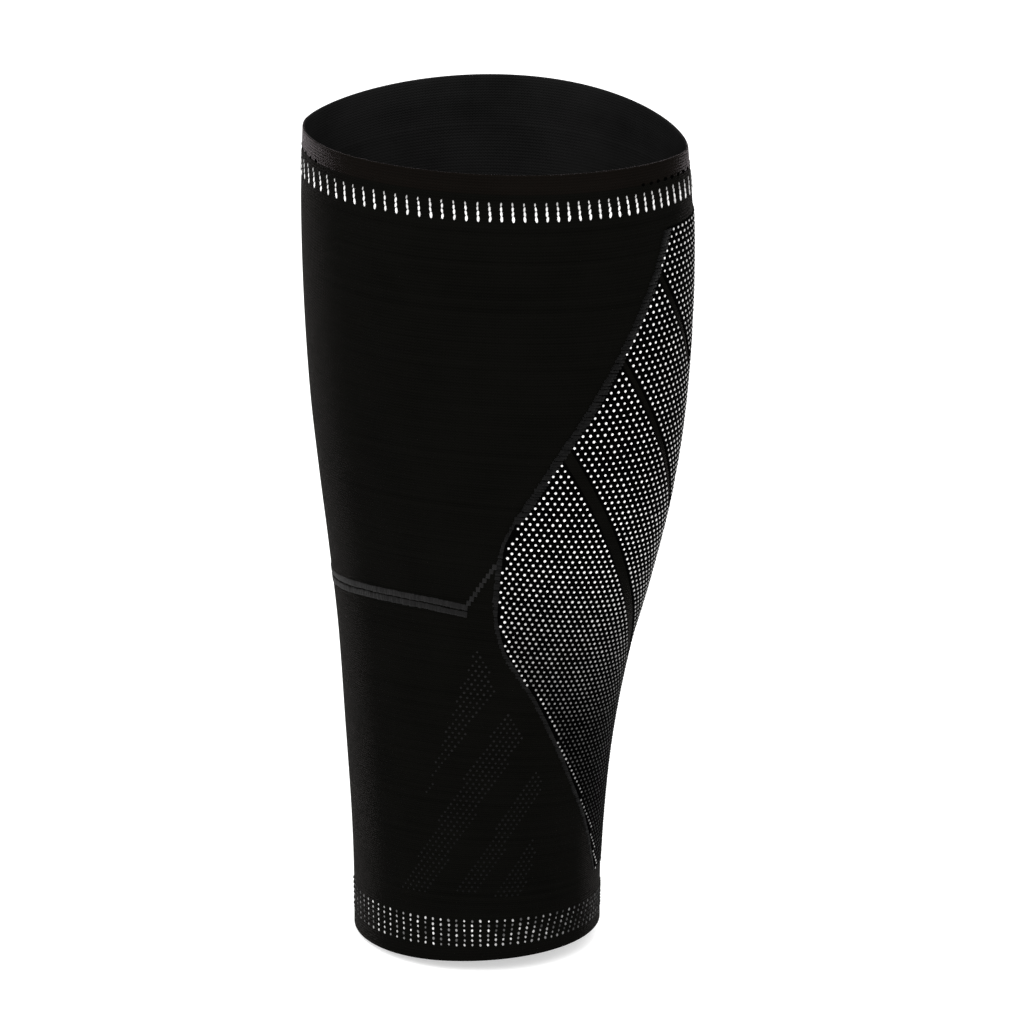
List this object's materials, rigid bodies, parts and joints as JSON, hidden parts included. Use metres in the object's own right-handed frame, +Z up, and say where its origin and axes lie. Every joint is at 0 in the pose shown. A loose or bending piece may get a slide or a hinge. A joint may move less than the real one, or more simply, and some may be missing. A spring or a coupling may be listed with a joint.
{
  "type": "knitted calf compression sleeve",
  "caption": "Footless knitted compression sleeve for the lower leg, in its worn shape: open at knee and ankle, with a dotted calf panel crossed by plain chevrons and a banded cuff at each end.",
  "frame": {"origin": "middle of the ankle opening, on the line through the leg", "axes": "+Z up the leg towards the knee, +Y to the calf side, -Y to the shin side, X from side to side"},
  "size_m": [0.1018, 0.1375, 0.3044],
  "materials": {
    "plain_knit": "matte fine knit, near black",
    "cuff_knit": "matte doubled knit, brownish black",
    "dotted_knit": "matte black knit covered with small white yarn dots"
  },
  "bodies": {
    "root": {"top_cuff": "cuff_knit", "leg_tube": "plain_knit", "calf_pad_1": "dotted_knit", "calf_pad_2": "dotted_knit", "calf_pad_3": "dotted_knit", "calf_pad_4": "dotted_knit", "ankle_cuff": "cuff_knit"}
  },
  "joints": []
}
